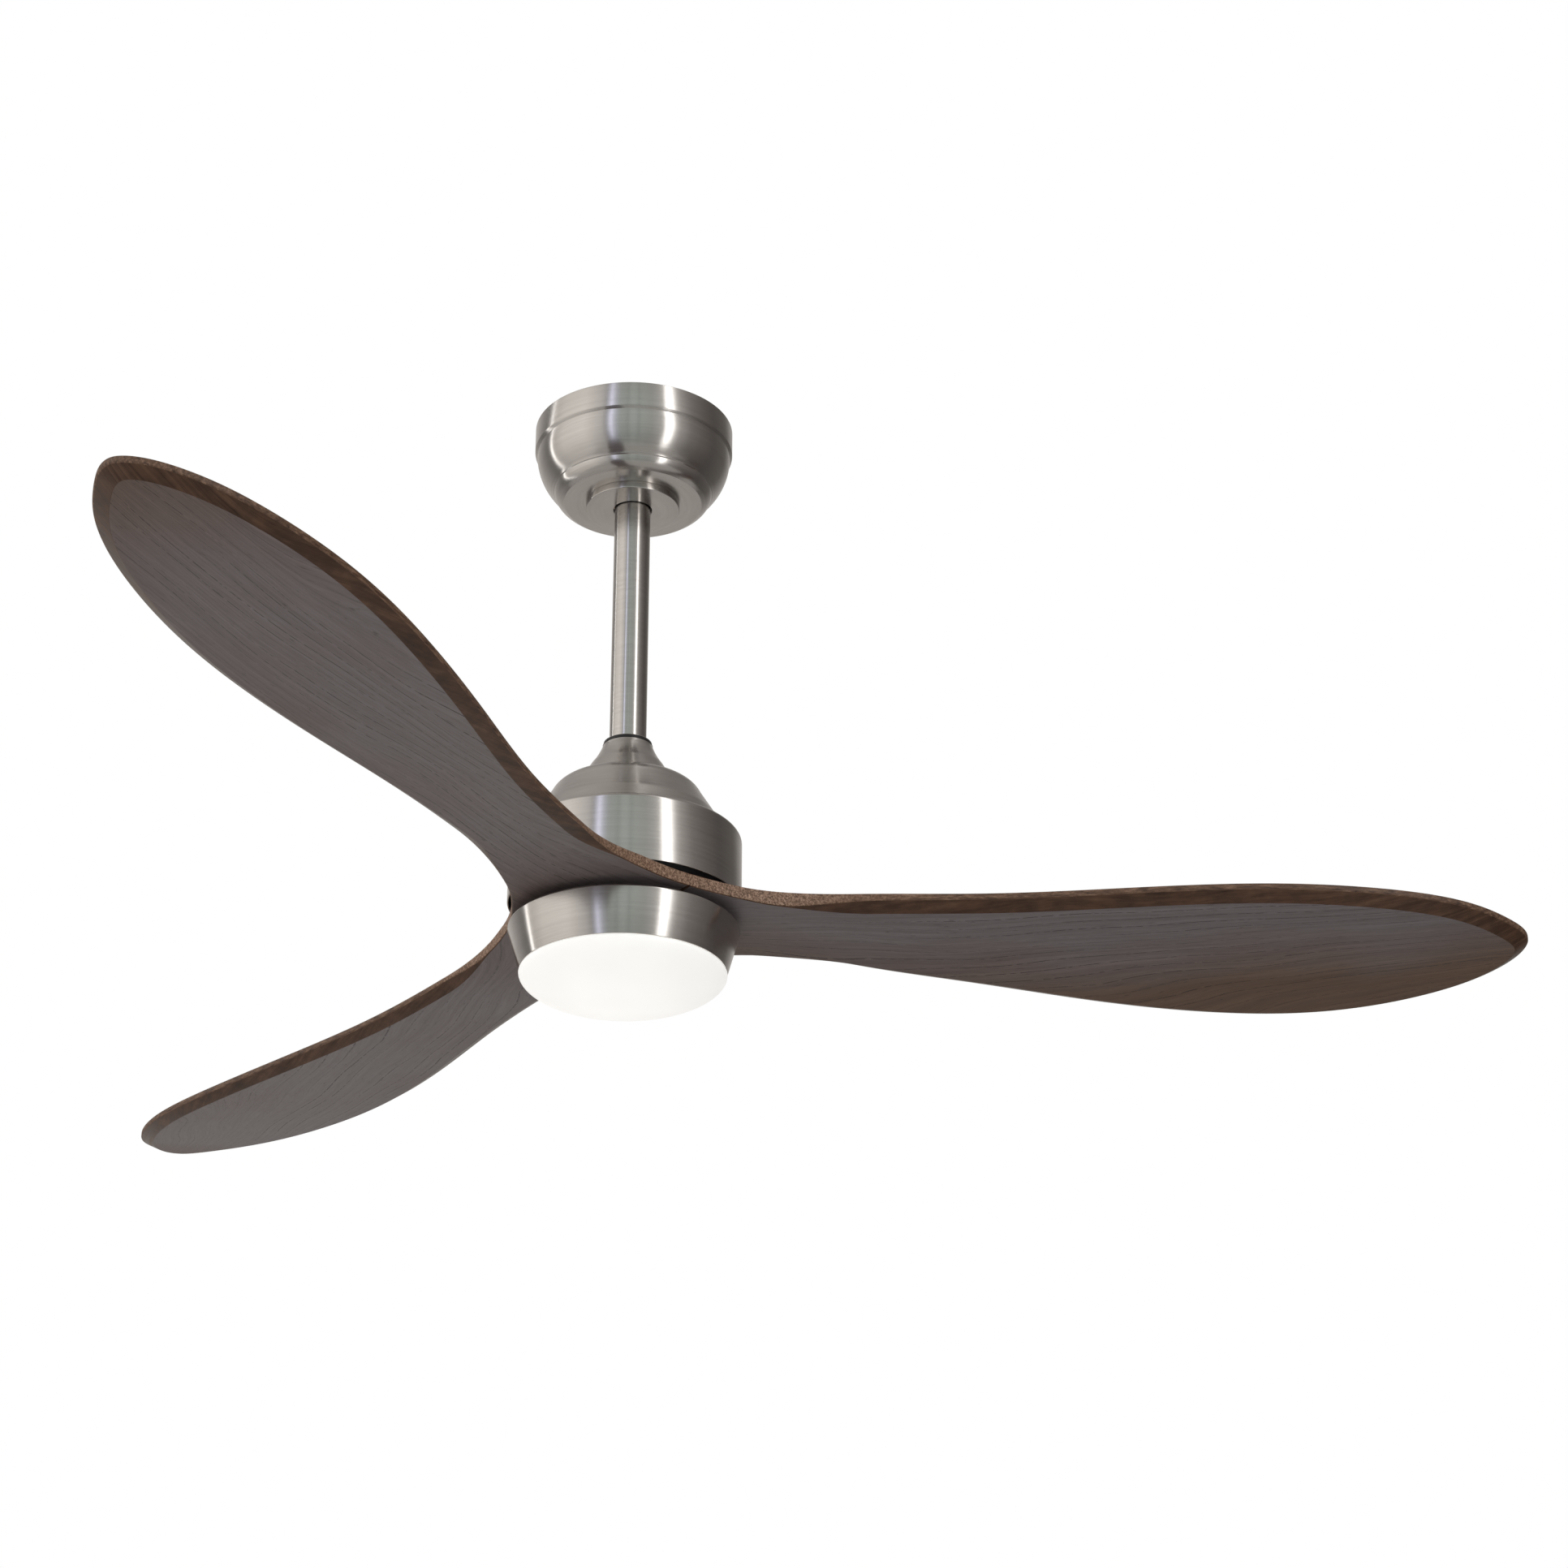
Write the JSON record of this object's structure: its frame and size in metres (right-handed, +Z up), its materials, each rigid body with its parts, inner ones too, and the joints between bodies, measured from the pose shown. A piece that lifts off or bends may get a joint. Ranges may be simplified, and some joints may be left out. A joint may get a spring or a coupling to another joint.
{
  "type": "ceiling fan with light",
  "caption": "Ceiling fan on a short downrod with carved wooden propeller blades, brushed nickel canopy and motor covers, and a round opal LED light under the hub.",
  "frame": {"origin": "on the ceiling plane, at the fan's axis: the centre of the bracket's face that meets the ceiling", "axes": "+Z up along the downrod and motor axis, +X along the first blade"},
  "size_m": [1.0174, 1.1535, 0.4607],
  "materials": {
    "brushed_nickel": "satin brushed",
    "zinc_steel": "zinc plated",
    "green_screw": "green enamel",
    "black_plastic": "moulded",
    "connector_plastic": "moulded",
    "cable_sheath": "matt sheath",
    "black_rubber": "matt",
    "cast_alloy": "die cast, dark",
    "board_green": "solder mask",
    "component_dark": "moulded",
    "lamination_steel": "stacked laminations",
    "copper_enamel": "enamelled copper windings",
    "magnet_dark": "sintered",
    "driver_case": "moulded",
    "led_board_white": "white solder mask on aluminium",
    "led_yellow": "phosphor",
    "white_plastic": "moulded",
    "opal_diffuser": "opal satin, lit",
    "walnut": "dark walnut stain, satin lacquer"
  },
  "bodies": {
    "ceiling_side": {"mounting_bracket": "zinc_steel", "ground_screw": "green_screw", "receiver": "black_plastic", "wire_connectors": "connector_plastic", "canopy": "brushed_nickel", "canopy_screws": "zinc_steel", "canopy_collar": "brushed_nickel"},
    "hanging_side": {"hanger_ball": "black_plastic", "ball_pin": "zinc_steel", "ball_set_screw": "zinc_steel", "downrod": "brushed_nickel", "lead_cable": "cable_sheath", "cover_seal": "black_rubber", "coupling_cover": "brushed_nickel", "motor_coupling": "cast_alloy", "coupling_pin": "zinc_steel", "cotter_clip": "zinc_steel", "coupling_set_screws": "zinc_steel", "cap_screws": "zinc_steel", "motor_cap": "brushed_nickel", "motor_band": "brushed_nickel", "motor_control_board": "board_green", "board_components": "component_dark", "board_spacers": "zinc_steel", "motor_shaft": "zinc_steel", "bearing_inner_races": "zinc_steel", "stator_core": "lamination_steel", "stator_windings": "copper_enamel", "light_pan": "brushed_nickel", "light_mount_plate": "zinc_steel", "light_locknut": "zinc_steel", "led_driver": "driver_case", "led_standoffs": "zinc_steel", "led_board": "led_board_white", "led_chips": "led_yellow", "led_screws": "zinc_steel", "diffuser_holder": "white_plastic"},
    "rotor": {"rotor_upper_cover": "cast_alloy", "rotor_lower_cover": "cast_alloy", "rotor_magnets": "magnet_dark", "bearing_outer_races": "zinc_steel", "bearing_balls": "zinc_steel", "blade_1": "walnut", "blade_2": "walnut", "blade_3": "walnut", "blade_clamp": "zinc_steel", "blade_screws": "zinc_steel"},
    "light_cover": {"diffuser": "opal_diffuser"}
  },
  "joints": [
    {"name": "hanger_tilt", "type": "hinge", "parent": "ceiling_side", "child": "hanging_side", "pos_m": [0, 0, -0.04], "axis": [1, 0, 0], "range_deg": [-1.5, 1.5]},
    {"name": "fan_spin", "type": "hinge", "parent": "hanging_side", "child": "rotor", "pos_m": [0, 0, -0.396], "axis": [0, 0, 1], "continuous": true},
    {"name": "diffuser_twist", "type": "hinge", "parent": "hanging_side", "child": "light_cover", "pos_m": [0, 0, -0.435], "axis": [0, 0, 1], "range_deg": [0, 40]}
  ]
}
